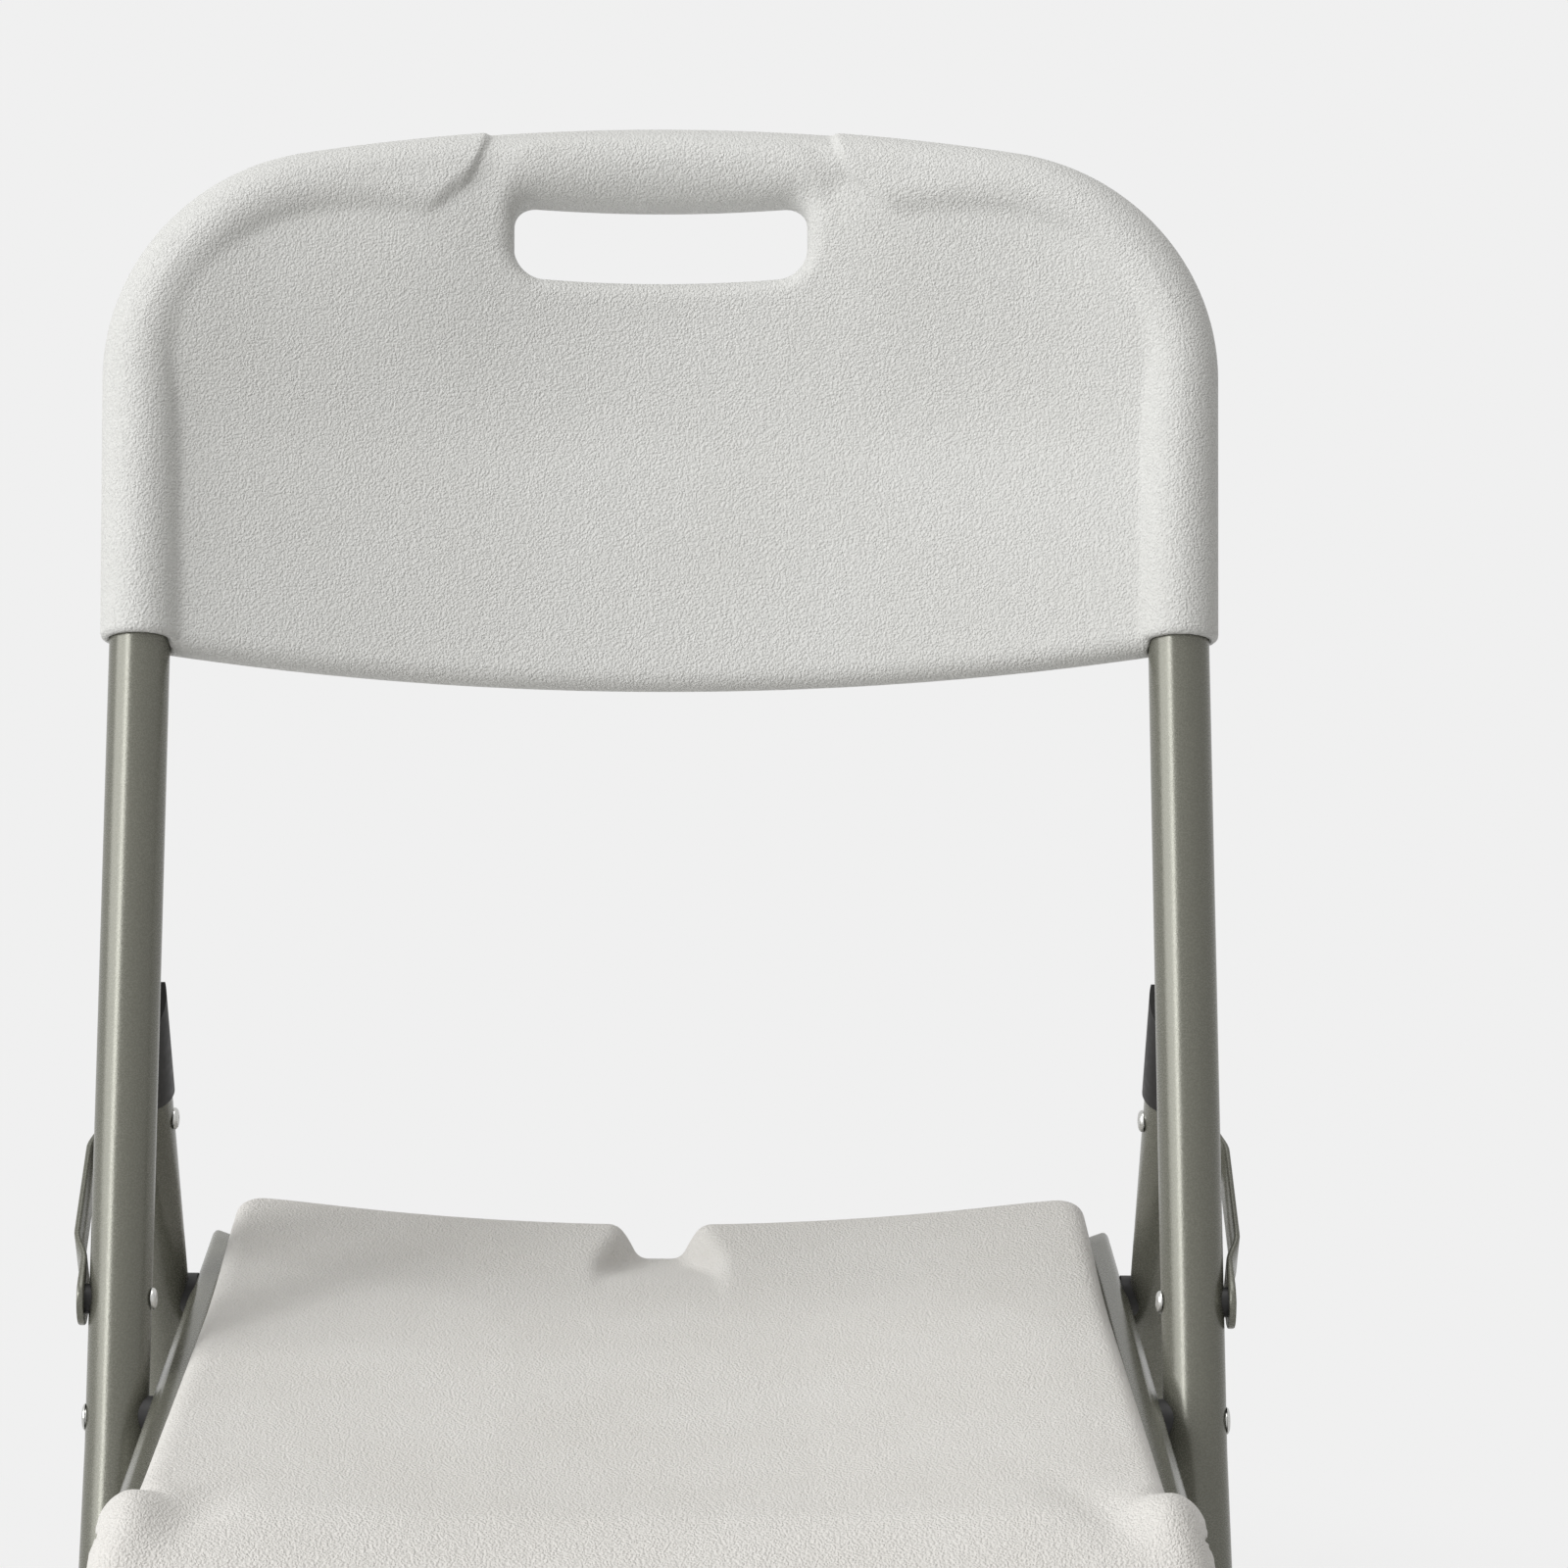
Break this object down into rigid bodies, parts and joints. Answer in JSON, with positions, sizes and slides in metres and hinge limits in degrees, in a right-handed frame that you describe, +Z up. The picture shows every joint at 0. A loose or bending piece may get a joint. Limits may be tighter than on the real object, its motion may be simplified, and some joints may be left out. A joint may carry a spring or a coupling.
{
  "type": "folding chair",
  "caption": "Folding chair with a moulded plastic seat and back on a round steel tube frame; seat, rear legs and side links fold flat together.",
  "frame": {"origin": "on the floor, under the middle of the open chair", "axes": "+Z up, -Y the way the sitter faces, +X to the left of someone sitting in the chair"},
  "size_m": [0.4734, 0.5655, 0.8843],
  "materials": {
    "moulded_plastic": "fine leather grain, off-white",
    "frame_paint": "satin metallic grey-olive powder coat",
    "black_plastic": "black moulded plastic",
    "zinc": "zinc plated rivets and screws"
  },
  "bodies": {
    "front_frame": {"front_leg_left": "frame_paint", "front_leg_right": "frame_paint", "front_cross_brace": "frame_paint", "front_foot_left": "black_plastic", "front_foot_right": "black_plastic", "back_panel": "moulded_plastic", "back_panel_screws": "zinc", "seat_pivot_rivets": "zinc", "seat_pivot_spacers": "black_plastic", "link_front_rivets": "zinc", "link_washers": "black_plastic"},
    "seat": {"seat_panel": "moulded_plastic", "seat_rail_left": "frame_paint", "seat_rail_right": "frame_paint", "seat_front_cross_tube": "frame_paint", "seat_rear_cross_tube": "frame_paint", "seat_screws": "zinc"},
    "rear_frame": {"rear_leg_left": "frame_paint", "rear_leg_right": "frame_paint", "rear_cross_brace": "frame_paint", "rear_foot_left": "black_plastic", "rear_foot_right": "black_plastic", "rear_leg_cap_left": "black_plastic", "rear_leg_cap_right": "black_plastic", "rear_leg_rivets": "zinc", "rear_leg_spacers": "black_plastic", "link_rear_rivets": "zinc"},
    "link_right": {"link_right": "frame_paint", "link_rear_head_right": "zinc"},
    "link_left": {"link_left": "frame_paint", "link_rear_head_left": "zinc"}
  },
  "joints": [
    {"name": "seat_fold", "type": "hinge", "parent": "front_frame", "child": "seat", "pos_m": [0, -0.06235, 0.4], "axis": [-1, 0, 0], "range_deg": [0, 105.43]},
    {"name": "rear_leg_fold", "type": "hinge", "parent": "seat", "child": "rear_frame", "pos_m": [0, 0.09365, 0.39583], "axis": [1, 0, 0], "range_deg": [0, 54.84]},
    {"name": "right_link_swing", "type": "hinge", "parent": "front_frame", "child": "link_right", "pos_m": [0.228, -0.04101, 0.44188], "axis": [-1, 0, 0], "range_deg": [0, 127.29]},
    {"name": "left_link_swing", "type": "hinge", "parent": "front_frame", "child": "link_left", "pos_m": [-0.228, -0.04101, 0.44188], "axis": [-1, 0, 0], "range_deg": [0, 127.29]}
  ],
  "couplings": [
    {"joint": "rear_leg_fold", "follows": "seat_fold", "ratio": 0.52006},
    {"joint": "right_link_swing", "follows": "seat_fold", "ratio": 1.2073},
    {"joint": "left_link_swing", "follows": "seat_fold", "ratio": 1.2073}
  ]
}
